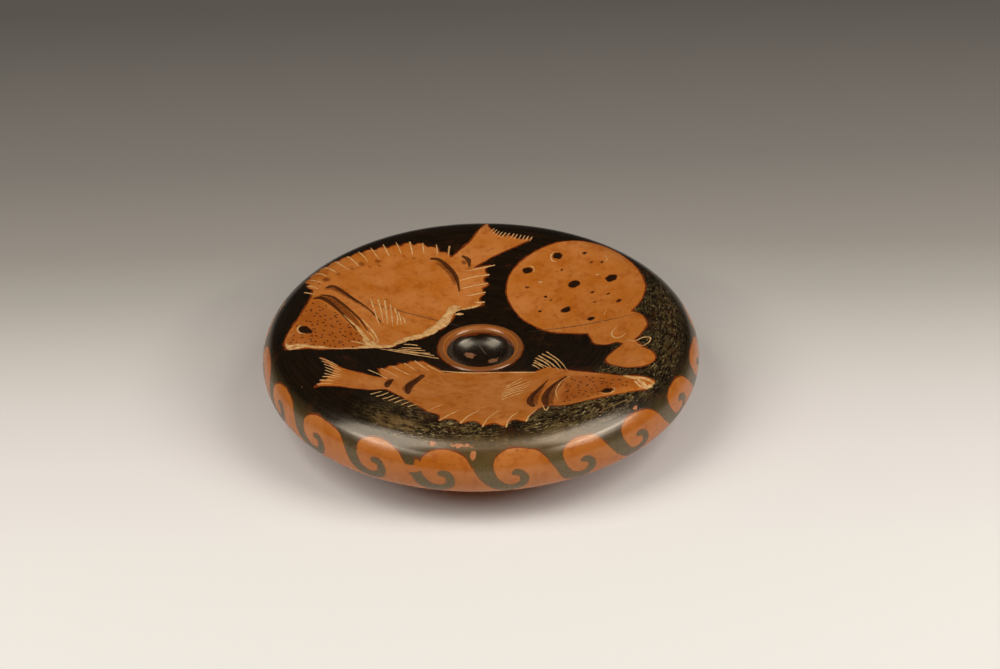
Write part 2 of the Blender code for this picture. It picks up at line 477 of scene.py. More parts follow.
# The brown wash
# Thinned black slip, brushed over the clay of the figures before the firing: gills, eyes, the
# ray's spots and small dots. Fine lines are kept as a signed distance across the line and
# half the line's width, so that they stay sharp between the points of the mesh.
# Each fine line: points across and back, with the width of the brush there.
fine_lines = [
    [(-84.2, 24.6, 1.2), (-80.5, 25.9, 2.7), (-76.4, 23.7, 2.7), (-71.8, 18.8, 2.0), (-67.2, 12.6, 1.7),
     (-61.8, 3.4, 0.7)],
    [(-80.5, 28.6, 1.0), (-75.2, 28.6, 2.2), (-70.4, 24.8, 2.2), (-65.2, 19.4, 1.6), (-60.6, 13.4, 1.4),
     (-56, 4, 0.6)],
    [(-78.4, 35, 1.0), (-74.6, 37.4, 2.4), (-69.5, 34.4, 2.2), (-64.4, 30, 1.8), (-58.5, 25.6, 1.0),
     (-54, 20.4, 1.2), (-50.2, 14.6, 0.8)],
    [(-25, 67, 1.4), (-21, 66.9, 2.3), (-16, 62, 2.5), (-12.2, 56, 2.2), (-11, 51, 1.7), (-10.2, 44.5, 0.7)],
    [(-8.2, 69.6, 1.6), (-5.2, 67, 2.6), (-4.7, 62.1, 1.0)],
    [(32.6, -41.6, 0.6), (28.4, -50, 1.8), (24.4, -58.5, 2.8), (23, -66, 3.3), (24.4, -72, 2.7)],
    [(41.4, -40.6, 0.7), (35.8, -47.6, 2.0), (31.8, -56, 3.0), (30.2, -65, 3.5), (30.8, -72, 2.8)],
    [(-43.4, -40.2, 1.6), (-45.2, -44.6, 3.2), (-46, -49.6, 2.0)],
    [(-28.6, -31.2, 2.6), (-31.6, -38, 3.0), (-35, -45.6, 4.0), (-35.6, -55, 2.0)],
]
# each broad stroke of wash: points and the stroke's width
broad_wash = [
    ([(-82, 26.6), (-77, 26.4), (-71.5, 22), (-66, 16), (-60, 7)], 4.0),
    ([(-79, 33.6), (-75, 35.2), (-70.5, 33.2), (-64, 29), (-57, 23)], 2.8),
    ([(-22, 64.8), (-17, 60.5), (-13.6, 55), (-12.4, 49)], 3.2),
    ([(-8, 66.4), (-6.6, 64)], 3.2),
    ([(41.6, -41.4), (37.2, -48.6), (34, -57), (32.8, -65.6), (33.4, -72)], 4.6),
    ([(30.4, -47), (26.8, -56), (25.4, -64), (26.4, -71)], 3.8),
    ([(-30.6, -34), (-34, -41.6), (-36.6, -48.6), (-36.8, -54)], 3.8),
    ([(-44.2, -42.6), (-46.8, -47.6)], 3.0),
]
# each round dab of wash along the root of the bream's back fin: x, y and how far it reaches inside
fin_dabs = [(-60.5, 58.5, 1.3), (-52.5, 62, 1.1), (-56.6, 56.4, 0.6), (-51.6, 58.8, 0.6), (-78.4, 42.6, 1.7),
            (-72.4, 47.6, 1.1), (-33.6, 66.8, 0.6), (-82, 38, 0.7), (-66, 53.5, 0.5)]
dab_fall = 0.8
# each dark spot: x, y, half its length, half its width, how it is turned in degrees
dark_spots = [
    (-87.1, -4.4, 3.9, 3.2, -35), (60, -64.3, 3.2, 2.2, 12), (41.4, 64.9, 3.0, 2.5, -40),
    (25.4, 56.9, 2.8, 2.4, -20), (48.9, 41.5, 3.2, 2.9, 10), (68.2, 40.5, 3.2, 2.9, 20),
    (44, 22.7, 2.6, 2.3, 15), (56.2, 11, 2.0, 1.7, 10), (71, 20.8, 1.7, 1.2, 30), (55.5, 63.8, 1.2, 0.9, 0),
    (58.5, 56, 0.9, 0.7, 0), (64.3, 54.4, 1.1, 0.8, -20), (43.1, 53.8, 1.0, 0.7, 50),
    (24.9, 44.7, 1.2, 0.8, -20), (34.2, 35.8, 1.1, 0.8, -30), (36.7, 32.6, 0.9, 0.8, 60),
    (30.8, 25.5, 1.1, 0.9, -30), (58.1, 32.3, 1.2, 0.8, 0), (65.8, 28.4, 1.0, 0.8, 20),
    (58.8, 24.2, 1.1, 0.7, 25),
]
# how far beyond its own edge a fine line is noted, and what stands for no line near
line_margin = 1.2
no_line = 9.0


def tapered(path, width, both=True):
    """A path with half its width at each point, thinning towards both ends or only the last."""
    run = np.concatenate([[0], np.cumsum(np.hypot(*np.diff(path, axis=0).T))])
    ends = np.minimum(run, run[-1] - run) if both else run[-1] - run
    share = 0.3 + 0.7 * np.clip(ends / (0.3 * run[-1]), 0, 1)
    return np.column_stack([path, share * width / 2])


def stroke_depth(path, x, y):
    """How far inside a brush stroke each point lies; the path gives x, y and half the width."""
    depth = np.full(len(x), -margin)
    for (x0, y0, half0), (x1, y1, half1) in zip(path, path[1:]):
        run_x, run_y = x1 - x0, y1 - y0
        share = np.clip(((x - x0) * run_x + (y - y0) * run_y) / (run_x ** 2 + run_y ** 2), 0, 1)
        distance = np.hypot(x - x0 - share * run_x, y - y0 - share * run_y)
        depth = np.maximum(depth, half0 + share * (half1 - half0) - distance)
    return depth


def near_fine_lines(paths):
    """For the clay near each brush line, the signed distance across it and half its width."""
    across = np.full(len(plan_x), no_line)
    half = np.full(len(plan_x), -no_line)
    closest = np.full(len(plan_x), margin)
    for path in paths:
        low, high = path[:, :2].min(0) - margin, path[:, :2].max(0) + margin
        in_width = (plan_x > low[0]) & (plan_x < high[0])
        near = np.flatnonzero(on_top & in_width & (plan_y > low[1]) & (plan_y < high[1]))
        x, y = plan_x[near], plan_y[near]
        for (x0, y0, half0), (x1, y1, half1) in zip(path, path[1:]):
            length = math.hypot(x1 - x0, y1 - y0)
            run_x, run_y = (x1 - x0) / length, (y1 - y0) / length
            share = (x - x0) * run_x + (y - y0) * run_y
            beyond = np.maximum(np.maximum(-share, share - length), 0)
            side = (y - y0) * run_x - (x - x0) * run_y
            distance = np.hypot(side, beyond)
            half_here = half0 + np.clip(share / length, 0, 1) * (half1 - half0)
            nearer = (distance < closest[near]) & (distance < half_here + line_margin)
            closest[near[nearer]] = distance[nearer]
            across[near[nearer]] = side[nearer]
            half[near[nearer]] = (half_here - beyond)[nearer]
    return across, half


def inside_oval(x, y, half_length, half_width, turned=0):
    """How far inside an oval each point of the plan lies, on the scale of its half width."""
    cos, sin = math.cos(math.radians(turned)), math.sin(math.radians(turned))
    lengthwise = (plan_x - x) * cos + (plan_y - y) * sin
    crosswise = (plan_y - y) * cos - (plan_x - x) * sin
    return (1 - np.hypot(lengthwise / half_length, crosswise / half_width)) * half_width


line_across, line_half = near_fine_lines([smooth(points, 1.2) * (1, 1, 0.5) for points in fine_lines])
# the crack shows in two stretches, and again for a little way inside the hollow
crack_width = 0.56
crack_lines = [[(-60.4, 29.2), (-40.6, 25.9), (-23, 22.8), (-9, 19.9)],
               [(24, 11.8), (45.4, 7.9), (60.5, 6.4), (81, 6.2)],
               [(-1.6, 14.6), (0.4, 11.4), (3, 7.6)]]
crack_across, crack_half = near_fine_lines([tapered(smooth(points, 2.5), crack_width)
                                            for points in crack_lines])
# two strokes of the added white have come off the black and left only their marks
lost_width = 0.8
lost_strokes = [[(49, -76), (53, -73.4), (57.4, -75.4), (57, -79.6), (52.4, -81.4)],
                [(59, -78), (63.6, -74.4), (69, -70.6), (70.2, -73), (66, -77.6), (60.4, -79.6)]]
lost_across, lost_half = near_fine_lines([tapered(smooth(points, 1.5), lost_width)
                                          for points in lost_strokes])

wash = np.full(len(plan_x), -margin)
for points, width in broad_wash:
    wash = np.maximum(wash, stroke_depth(tapered(smooth(points, 1.5), width), plan_x, plan_y))
for x, y, depth in fin_dabs:
    wash = np.maximum(wash, depth - np.hypot(plan_x - x, plan_y - y) * dab_fall)
spots = np.full(len(plan_x), -margin)
for spot in dark_spots:
    spots = np.maximum(spots, inside_oval(*spot))
wash = np.where(on_top, wash, -margin)
spots = np.where(on_top, spots, -margin)
bream_face = smooth([(-97, -18), (-95, -8), (-87, 20), (-81, 23), (-71, 15), (-62, 3), (-53, -9), (-64, -15),
                     (-80, -18.5), (-97, -18)], 2)
pike_face = smooth([(44, -41), (58, -47), (73, -54), (75, -60), (57, -67.5), (40, -72.5), (36.5, -62),
                    (44, -41)], 2)
dotted = np.maximum(depth_inside(bream_face, plan_x, plan_y), depth_inside(pike_face, plan_x, plan_y))
dotted = np.where(on_top, dotted, -margin)

# Wear
# The gloss is worn and mottled round the near right of the rim, chipped through to the clay
# in a few places along the shoulder, and rubbed through inside the hollow.
worn_middle = math.radians(-48)
worn_half_span = math.radians(84)
worn_fade = math.radians(24)
worn_from = 72
worn_past_crest = 16
past_crest = along - crest_reach
from_middle = np.abs(angle_from(worn_middle, turn))
worn = np.clip((worn_half_span - from_middle) / worn_fade, 0, 1)
worn = worn * np.clip((along - worn_from) / 10, 0, 1) * np.clip((worn_past_crest - past_crest) / 8, 0, 1)
# the wear is heaviest on the near side
worn *= np.clip(0.3 - np.sin(turn), 0.6, 1)
# one more worn place to the left: its direction, distance past the crest and half its sizes
pale_direction = math.radians(-115.5)
pale_past_crest = 4.5
pale_half_length = 14.0
pale_half_width = 6.0
pale_round = angle_from(pale_direction, turn) * crest_radius
pale = np.hypot(pale_round / pale_half_length, (past_crest - pale_past_crest) / pale_half_width)
pale_worn = np.clip((1 - pale) * 2.5, 0, 1)
# the slip is thinner and browner low on the near shoulder, with a painted sheen laid over it there
thin_slip_sheen_direction = math.radians(-84)
thin_slip_sheen_half_span = math.radians(28)
thin_slip_sheen_fade = math.radians(14)
thin_slip_and_sheen = np.clip((thin_slip_sheen_half_span - np.abs(angle_from(thin_slip_sheen_direction, turn))) / thin_slip_sheen_fade, 0, 1)
thin_slip_and_sheen = thin_slip_and_sheen * np.clip((past_crest - 5) / 8, 0, 1)
# each chip: direction in degrees, distance past the crest, half its length round the rim, half its width
chips = [(-103.5, 12, 2.3, 1.2), (-96.4, 12.2, 5.0, 0.9), (-92.6, 16.6, 1.4, 2.5), (166, 14.6, 5.5, 0.9),
         (-45, 13.4, 1.5, 1.0), (28, 12.5, 1.4, 0.8), (-149.9, 10.6, 0.8, 0.7), (78, 13, 2.2, 0.8),
         (118, 19, 1.4, 1.0)]
chipped = np.full(len(plan_x), -margin)
for direction, chip_past_crest, half_length, half_width in chips:
    chip_round = angle_from(math.radians(direction), turn) * true_radius
    distance = np.hypot(chip_round / half_length, (past_crest - chip_past_crest) / half_width)
    chipped = np.maximum(chipped, (1 - distance) * half_width)
# each place rubbed through inside the hollow: x, y, half its length, half its width; they stay
# within rubbed_reach along the section, so the underside below them is whole
rubbed_patches = [(-5.6, 7, 3.0, 1.7), (6.4, 2.6, 2.6, 1.6)]
rubbed_reach = 30
for patch in rubbed_patches:
    chipped = np.where(along < rubbed_reach, np.maximum(chipped, inside_oval(*patch)), chipped)

paint_layers = {
    "along": along, "reserved": reserved, "line_across": line_across, "line_half": line_half,
    "crack_across": crack_across, "crack_half": crack_half, "lost_across": lost_across,
    "lost_half": lost_half, "wash": wash, "spots": spots, "dotted": dotted, "worn": worn,
    "pale_worn": pale_worn, "chipped": chipped, "rim_wall": np.clip((past_crest - 14) / 9, 0, 1),
    "thin_slip_and_sheen": thin_slip_and_sheen, "underneath": np.clip((along - lip_reach - 1) / 4, 0, 1),
    "foot_gloss": along - lip_reach,
}
for name, values in paint_layers.items():
    clay.attributes.new(name, "FLOAT", "POINT").data.foreach_set("value", values.astype(np.float32))

# Clay and black gloss
# A fine orange clay, burnished to a low sheen, with a black slip that fires to a gloss. Where
# the slip is thin, at the edge of every figure, it stays reddish brown.


def seen_colour(red, green, blue):
    """A colour as it shows on a screen, from 0 to 255, turned into the shader's linear values."""
    return tuple((share / 255 / 12.92 if share < 11 else ((share / 255 + 0.055) / 1.055) ** 2.4)
                 for share in (red, green, blue)) + (1,)


class Finish:
    """A node material under construction; each method adds one step and gives back its result."""

    def __init__(self, name):
        self.material = bpy.data.materials.new(name)
        self.material.use_nodes = True
        self.tree = self.material.node_tree
        self.shader = self.tree.nodes["Principled BSDF"]

    def add(self, kind, inputs, result=0, **settings):
        """One node, its inputs set or linked; gives back one of its outputs."""
        step = self.tree.nodes.new(kind)
        for name, value in settings.items():
            setattr(step, name, value)
        for socket, value in inputs.items():
            if isinstance(value, bpy.types.NodeSocket):
                self.tree.links.new(value, step.inputs[socket])
            else:
                step.inputs[socket].default_value = value
        return step.outputs[result]

    def layer(self, name):
        """A named layer of paint kept on the mesh."""
        return self.add("ShaderNodeAttribute", {}, "Fac", attribute_name=name)

    def work(self, operation, first, second=0.0, third=0.0):
        """One sum on two or three values."""
        return self.add("ShaderNodeMath", {0: first, 1: second, 2: third}, operation=operation)

    def step(self, value, start, end):
        """Nothing up to the start, everything from the end on, and an even change between them."""
        return self.add("ShaderNodeMapRange", {"Value": value, "From Min": start, "From Max": end})

    def between(self, value, low, high):
        """A pattern's usual spread of values turned into a spread from low to high."""
        return self.add("ShaderNodeMapRange", {"Value": value, "From Min": 0.25, "From Max": 0.75,
                                               "To Min": low, "To Max": high})

    def band(self, value, start, full, still_full, end):
        """Everything between full and still full, fading to nothing at the start and the end."""
        return self.work("MULTIPLY", self.step(value, start, full), self.step(value, end, still_full))

    def blend(self, share, first, second):
        """The first colour where the share is nothing, the second where it is full."""
        return self.add("ShaderNodeMix", {0: share, 6: first, 7: second}, 2, data_type="RGBA")

    def tint(self, tone, colour, share, strength):
        """A tone with a share of one colour laid over it, at no more than the given strength."""
        return self.blend(self.work("MULTIPLY", share, strength), tone, colour)

    def noise(self, place, scale, detail=2.0, roughness=0.5):
        """A cloudy random pattern, finer as the scale grows."""
        return self.add("ShaderNodeTexNoise", {"Vector": place, "Scale": scale, "Detail": detail,
                                               "Roughness": roughness})

    def set(self, socket, value):
        """Sets or links one input of the shader."""
        if isinstance(value, bpy.types.NodeSocket):
            self.tree.links.new(value, self.shader.inputs[socket])
        else:
            self.shader.inputs[socket].default_value = value


finish = Finish("painted_clay")
where = finish.add("ShaderNodeTexCoord", {}, "Object")
place = finish.add("ShaderNodeVectorMath", {0: where, 3: 1000}, operation="SCALE")
place_parts = finish.tree.nodes.new("ShaderNodeSeparateXYZ")
finish.tree.links.new(place, place_parts.inputs[0])
flat_spot = finish.add("ShaderNodeCombineXYZ", {0: place_parts.outputs[0], 1: place_parts.outputs[1]})
from_axis = finish.add("ShaderNodeVectorMath", {0: flat_spot}, "Value", operation="LENGTH")
direction = finish.add("ShaderNodeVectorMath", {0: flat_spot}, "Vector", operation="NORMALIZE")


def wheel_place(across_scale, round_scale):
    """Places for streaks that follow the wheel: fine across the plate, long round it."""
    long = finish.add("ShaderNodeVectorMath", {0: direction, 3: round_scale}, operation="SCALE")
    rise = finish.work("MULTIPLY", finish.layer("along"), across_scale)
    fine = finish.add("ShaderNodeCombineXYZ", {2: rise})
    return finish.add("ShaderNodeVectorMath", {0: long, 1: fine}, operation="ADD")


def inside_line(kind):
    """How far inside the nearest fine line of one kind each place lies."""
    off_line = finish.work("ABSOLUTE", finish.layer(kind + "_across"))
    return finish.work("SUBTRACT", finish.layer(kind + "_half"), off_line)


clay_orange = seen_colour(172, 96, 28)
clay_pale = seen_colour(180, 108, 46)
clay_deep = seen_colour(150, 74, 12)
clay_dust_and_sheen = seen_colour(192, 122, 66)
clay_chip = seen_colour(172, 110, 80)
rubbed_clay = seen_colour(142, 100, 68)
face_orange = seen_colour(138, 62, 8)
wash_brown = seen_colour(92, 40, 10)
wash_dark = seen_colour(46, 17, 5)
ring_brown = seen_colour(116, 68, 32)
spot_black = seen_colour(20, 10, 4)
crack_brown = seen_colour(70, 36, 16)
gloss_black = seen_colour(14, 8, 3)
gloss_brown = seen_colour(30, 17, 6)
gloss_reddish = seen_colour(64, 30, 10)
gloss_dull = seen_colour(80, 64, 34)
shoulder_slip_and_sheen = seen_colour(98, 74, 38)
gloss_olive = seen_colour(114, 88, 52)
gloss_fleck = seen_colour(176, 154, 108)
# painted reflection of the pale floor in the gloss of the rim wall
rim_painted_floor_reflection = seen_colour(88, 72, 40)
gloss_thin = seen_colour(112, 46, 12)
# radii from the axis where each of the ring's bands begins, is full, is still full, and ends
washed_band = (18.9, 19.2, 22.4, 23)
dirty_band = (16.6, 17, 22.4, 23)
groove_band = (17.6, 17.75, 17.95, 18.1)
# the same for the black band under the plate and round the foot, measured on from the lip
foot_band = (70.5, 71.5, 91.5, 92.5)

fine_noise = finish.noise(place, 0.7, 3)
broad_noise = finish.noise(place, 0.09, 3)
streaks = finish.noise(wheel_place(0.9, 4), 1.0, 3)
hair_lines = finish.noise(wheel_place(3.4, 5), 1.0, 3, 0.6)
specks = finish.noise(place, 2.6, 2)
dust_and_sheen_haze = finish.noise(place, 0.035, 4, 0.6)
stains = finish.noise(place, 0.16, 6, 0.7)
smudges = finish.noise(place, 0.35, 5, 0.7)

# the bare clay
clay_tone = finish.blend(finish.step(broad_noise, 0.35, 0.65), clay_orange, clay_pale)
clay_tone = finish.tint(clay_tone, clay_deep, finish.step(streaks, 0.5, 0.75), 0.3)
clay_tone = finish.tint(clay_tone, wash_brown, finish.step(specks, 0.63, 0.72), 0.5)
# a pale pinkish haze in random patches: dust, and a painted sheen on the clay
clay_tone = finish.tint(clay_tone, clay_dust_and_sheen, finish.step(dust_and_sheen_haze, 0.45, 0.62), 0.4)
clay_tone = finish.tint(clay_tone, clay_deep, finish.step(stains, 0.5, 0.66), 0.7)
clay_tone = finish.tint(clay_tone, wash_brown, finish.step(smudges, 0.59, 0.71), 0.55)
# the ring carries a thin brown wash outside a bare band, with a dark groove between hollow and band
ring_wash = finish.band(from_axis, *washed_band)
clay_tone = finish.tint(clay_tone, ring_brown, ring_wash, 0.85)
clay_tone = finish.tint(clay_tone, ring_brown, finish.band(from_axis, *dirty_band), 0.4)
clay_tone = finish.tint(clay_tone, wash_brown, finish.band(from_axis, *groove_band), 0.55)

# the wash and the spots laid on the clay, each with an uneven edge
wobble = finish.between(fine_noise, -0.13, 0.13)
dots = finish.add("ShaderNodeTexVoronoi", {"Vector": flat_spot, "Scale": 0.29, "Randomness": 0.9},
                  "Distance", voronoi_dimensions="2D")
clay_tone = finish.tint(clay_tone, face_orange, finish.step(finish.layer("dotted"), -1.5, 2.5), 0.5)
dot_share = finish.step(finish.work("MULTIPLY_ADD", wobble, 0.25, dots), 0.2, 0.13)
dot_share = finish.work("MULTIPLY", dot_share, finish.step(finish.layer("dotted"), 0.2, 1.0))
clay_tone = finish.tint(clay_tone, wash_dark, dot_share, 0.85)
ragged = finish.between(finish.noise(place, 0.45, 5, 0.75), -0.7, 0.5)
wash_share = finish.step(finish.work("ADD", finish.layer("wash"), ragged), -0.5, 0.5)
wash_strength = finish.between(finish.noise(place, 0.5, 2), 0.55, 0.9)
clay_tone = finish.tint(clay_tone, wash_brown, wash_share, wash_strength)
line_share = finish.step(finish.work("MULTIPLY_ADD", wobble, 0.6, inside_line("line")), -0.1, 0.1)
clay_tone = finish.tint(clay_tone, wash_dark, line_share, 0.88)
spot_wobble = finish.between(finish.noise(place, 0.5, 4, 0.65), -0.6, 0.6)
spot_depth = finish.work("ADD", spot_wobble, finish.layer("spots"))
clay_tone = finish.tint(clay_tone, wash_brown, finish.step(spot_depth, -0.25, 0.15), 0.7)
clay_tone = finish.tint(clay_tone, spot_black, finish.step(spot_depth, 0.0, 0.5), 0.95)

# the black gloss, dull and flaked where it is worn
broad_wobble = finish.between(finish.noise(place, 0.3, 2), -0.25, 0.25)
edge_wobble = finish.work("MULTIPLY_ADD", broad_wobble, 0.7, wobble)
edge = finish.work("ADD", finish.layer("reserved"), edge_wobble)
worn_layer = finish.layer("worn")
rim_wall = finish.layer("rim_wall")
islands = finish.noise(wheel_place(0.62, 20), 1.0, 6, 0.72)
worn_share = finish.work("MULTIPLY", worn_layer, finish.step(islands, 0.49, 0.54))
worn_share = finish.work("MULTIPLY", worn_share, finish.step(broad_noise, 0.3, 0.5))
gloss_tone = finish.blend(finish.step(streaks, 0.4, 0.75), gloss_black, gloss_brown)
reddish = finish.noise(place, 0.07, 6, 0.65)
gloss_tone = finish.tint(gloss_tone, gloss_reddish, finish.step(reddish, 0.55, 0.7), 0.55)
gloss_tone = finish.blend(worn_share, gloss_tone, gloss_dull)
# small pale flecks, longer round the rim, where the slip has flaked
flecks = finish.noise(wheel_place(1.4, 40), 1.0, 5, 0.7)
fleck_share = finish.work("MULTIPLY", finish.step(flecks, 0.57, 0.65), finish.step(broad_noise, 0.3, 0.46))
fleck_share = finish.work("MULTIPLY", fleck_share, worn_layer)
gloss_tone = finish.tint(gloss_tone, gloss_fleck, fleck_share, 0.8)
pale_share = finish.work("MULTIPLY", finish.layer("pale_worn"), finish.step(islands, 0.36, 0.62))
gloss_tone = finish.tint(gloss_tone, gloss_olive, pale_share, 0.8)
# thinner, browner slip on the near shoulder with a painted sheen, in streaks round the rim
shoulder_sheen_streaks = finish.between(finish.noise(wheel_place(0.4, 14), 1.0, 5, 0.7), 0.3, 1.0)
gloss_tone = finish.tint(gloss_tone, shoulder_slip_and_sheen, finish.layer("thin_slip_and_sheen"), shoulder_sheen_streaks)
# painted reflection: the gloss low on the rim wall is lightened to olive brown in patches, as the pale floor
# would shine in it
rim_reflection_patchiness = finish.between(finish.noise(place, 0.3, 4), 0.55, 0.95)
gloss_tone = finish.tint(gloss_tone, rim_painted_floor_reflection, rim_wall, rim_reflection_patchiness)
gloss_tone = finish.tint(gloss_tone, gloss_olive, finish.step(inside_line("lost"), -0.1, 0.15), 0.6)
bare_specks = finish.step(finish.noise(place, 0.55, 4, 0.7), 0.66, 0.72)
bare_specks = finish.work("MULTIPLY", worn_layer, bare_specks)
gloss_tone = finish.tint(gloss_tone, clay_deep, bare_specks, 0.6)
# the thin reddish edge of the slip, weaker on the rim
fringe_width = finish.between(finish.noise(place, 0.16, 3), -1.6, -0.3)
fringe_share = finish.step(finish.work("SUBTRACT", edge, fringe_width), 0.0, 0.25)
fringe_strength = finish.work("MULTIPLY_ADD", rim_wall, -0.6, 0.9)
gloss_tone = finish.tint(gloss_tone, gloss_thin, fringe_share, fringe_strength)

# where the gloss lies: off the figures and off the chips, which are only rubbed thin in the hollow
black_share = finish.step(edge, 0.07, -0.07)
chip_edge = finish.work("MULTIPLY_ADD", spot_wobble, 1.5, finish.layer("chipped"))
chip_share = finish.step(chip_edge, -0.05, 0.15)
clay_tone = finish.tint(clay_tone, clay_chip, chip_share, 0.55)
in_hollow = finish.step(from_axis, 17.5, 16)
clay_tone = finish.tint(clay_tone, rubbed_clay, in_hollow, 0.8)
chip_share = finish.work("MULTIPLY", chip_share, finish.work("MULTIPLY_ADD", in_hollow, -0.35, 1.0))
black_share = finish.work("MULTIPLY", black_share, finish.work("SUBTRACT", 1.0, chip_share))
# painted shade: the clay is darker low on the rim wall
clay_tone = finish.tint(clay_tone, clay_deep, rim_wall, 0.3)
under = finish.layer("underneath")
under_streaks = finish.noise(wheel_place(0.5, 6), 1.0, 4)
under_tone = finish.blend(finish.step(under_streaks, 0.4, 0.65), clay_orange, clay_deep)
under_black = finish.band(finish.layer("foot_gloss"), *foot_band)
clay_tone = finish.blend(under, clay_tone, under_tone)
black_share = finish.add("ShaderNodeMix", {0: under, 2: black_share, 3: under_black}, 0)

tone = finish.blend(black_share, clay_tone, gloss_tone)
crack_share = finish.step(inside_line("crack"), -0.12, 0.06)
crack_strength = finish.work("MULTIPLY_ADD", black_share, -0.8, 0.9)
tone = finish.tint(tone, crack_brown, crack_share, crack_strength)
finish.set("Base Color", tone)
finish.set("Specular Tint", (1, 0.86, 0.68, 1))

# the sheen, duller where the gloss is worn or rubbed, and the fine marks of wheel and brush
clay_roughness = finish.between(broad_noise, 0.18, 0.25)
clay_roughness = finish.work("MULTIPLY_ADD", ring_wash, -0.08, clay_roughness)
gloss_roughness = finish.work("MULTIPLY_ADD", worn_layer, 0.06, finish.between(fine_noise, 0.15, 0.21))
gloss_roughness = finish.work("MULTIPLY_ADD", in_hollow, 0.08, gloss_roughness)
gloss_roughness = finish.work("ADD", gloss_roughness, finish.between(hair_lines, -0.04, 0.04))
gloss_roughness = finish.work("MULTIPLY_ADD", rim_wall, 0.1, gloss_roughness)
roughness = finish.add("ShaderNodeMix", {0: black_share, 2: clay_roughness, 3: gloss_roughness}, 0)
finish.set("Roughness", finish.work("MULTIPLY_ADD", crack_share, 0.5, roughness))
finish.set("Specular IOR Level", finish.work("MULTIPLY_ADD", black_share, 0.1, 0.7))
grain = finish.work("MULTIPLY_ADD", streaks, 0.7, finish.work("MULTIPLY", specks, 0.12))
for pattern, rise in ((hair_lines, 0.35), (worn_share, -0.35), (chip_share, -0.8), (crack_share, -0.6),
                      (black_share, 0.12)):
    grain = finish.work("MULTIPLY_ADD", pattern, rise, grain)
finish.set("Normal", finish.add("ShaderNodeBump", {"Strength": 0.35, "Distance": 0.00012, "Height": grain}))
clay.materials.append(finish.material)

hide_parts("plate")
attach(plate, "root")

# The added white
# Thick cream slip, laid on over the figures with a fine brush that runs a little past their
# edges: fin rays, lips, gills and the rims of the eyes. Each stroke stands up about an eighth
# of a millimetre and is modelled as a thin closed ridge on the clay.
slip_height = 0.13
slip_width = 0.85
slip_hand = random.Random(11)
slip_points, slip_faces = [], []


def on_the_plate(x, y):
    """The place on the uneven upper surface over one point of the plan."""
    radius = math.hypot(x, y)
    angle = math.atan2(y, x)
    seen_rows = len(upper) - np.argmax(upper[::-1, 0])
    radii = upper[:seen_rows, 0]
    level = np.interp(radius, radii, upper[:seen_rows, 1])
    out, up = unevenness(np.interp(radius, radii, reach[:seen_rows]), angle)
    return np.array([(radius + out) * math.cos(angle), (radius + out) * math.sin(angle), level + up])


# across a stroke: how far out in half widths, and how far up in slip heights
slip_section = ((1, -0.3), (0.65, 0.7), (0, 1), (-0.65, 0.7), (-1, -0.3), (0, -1.5))


def slip_stroke(points, width=slip_width, both=True):
    """One raised stroke along a few plan points, thinning towards both ends or only the last."""
    path = tapered(smooth(points, 0.9), width, both)
    first = len(slip_points)
    headings = np.gradient(path[:, :2], axis=0)
    for (x, y, half), heading in zip(path, headings):
        side = np.array([-heading[1], heading[0]]) / math.hypot(*heading)
        half = half * slip_hand.uniform(0.8, 1.2)
        rise = slip_height * min(1, 0.5 + half / 2)
        for out, up in slip_section:
            on_clay = on_the_plate(x + side[0] * out * half, y + side[1] * out * half)
            slip_points.append(on_clay + (0, 0, up * rise))
    corners = len(slip_section)
    for step in range(len(path) - 1):
        here = first + corners * step
        for corner in range(corners):
            after = (corner + 1) % corners
            slip_faces.append((here + corner, here + corners + corner, here + corners + after, here + after))
    last = first + corners * (len(path) - 1)
    slip_faces.append(tuple(range(first, first + corners)))
    slip_faces.append(tuple(range(last + corners - 1, last - 1, -1)))


def fan(tips, roots, count, width=slip_width):
    """A row of fin rays, each drawn from the tip of the fin in to its root."""
    tips, roots = smooth(tips, 0.5), smooth(roots, 0.5)
    for ray in range(count):
        share = ray / (count - 1)
        tip = tips[round(share * (len(tips) - 1))]
        root = roots[round(share * (len(roots) - 1))]
        root = root + (tip - root) * slip_hand.uniform(-0.06, 0.14)
        bow = np.array([-(root - tip)[1], (root - tip)[0]]) * slip_hand.uniform(-0.05, 0.07)
        slip_stroke([tip, (tip + root) / 2 + bow, root], width * slip_hand.uniform(0.8, 1.2), both=False)


fan([(-89.5, 31), (-84.6, 51.5), (-63.5, 69), (-40.7, 78.5), (-14.9, 77)],
    [(-83.6, 28), (-78.6, 43), (-59, 58), (-40, 68.4), (-15.5, 70)], 15)
fan([(8.6, 62.8), (4.8, 53.7), (4.9, 48.3), (2.8, 42), (2.8, 37)],
    [(-8.6, 58.5), (-9.6, 50), (-9.9, 44), (-5, 40), (-2.8, 37.2)], 5)
fan([(-55.7, 32.1), (-48, 32.6), (-43, 27), (-39.6, 22)], [(-50.9, 11.6), (-45.5, 13), (-37.7, 16)], 7)
fan([(-21, -9.3), (-24.5, -6.2), (-29, -3), (-31.5, -0.2)],
    [(-52, -9.8), (-44, -8), (-40, -5), (-39, -1.6)], 6)
fan([(9, 90.4), (12.4, 87), (19.8, 84.8), (28.8, 81.4)],
    [(6.6, 86.6), (10, 83.2), (18.4, 81.2), (27.2, 78.4)], 12, 0.7)
fan([(25.5, -20.6), (28, -12.7), (32.9, -9.8)], [(29.3, -27.5), (33, -28), (42.2, -33.8)], 7)
fan([(12.2, -43.7), (9.8, -53), (9.6, -61.2)], [(20.4, -34.6), (25, -42), (21.3, -52.2)], 7, 0.7)
fan([(-20.3, -86.2), (-10.7, -89), (7.4, -93.4), (20.6, -88.8)],
    [(-8.8, -70.3), (-0.1, -71.6), (17.3, -75.4), (26.8, -75)], 5)
fan([(-53.5, -60.3), (-47, -64.4), (-35.5, -71.2)], [(-47.3, -54.8), (-41.9, -56.8), (-30.3, -66.5)], 7, 0.8)
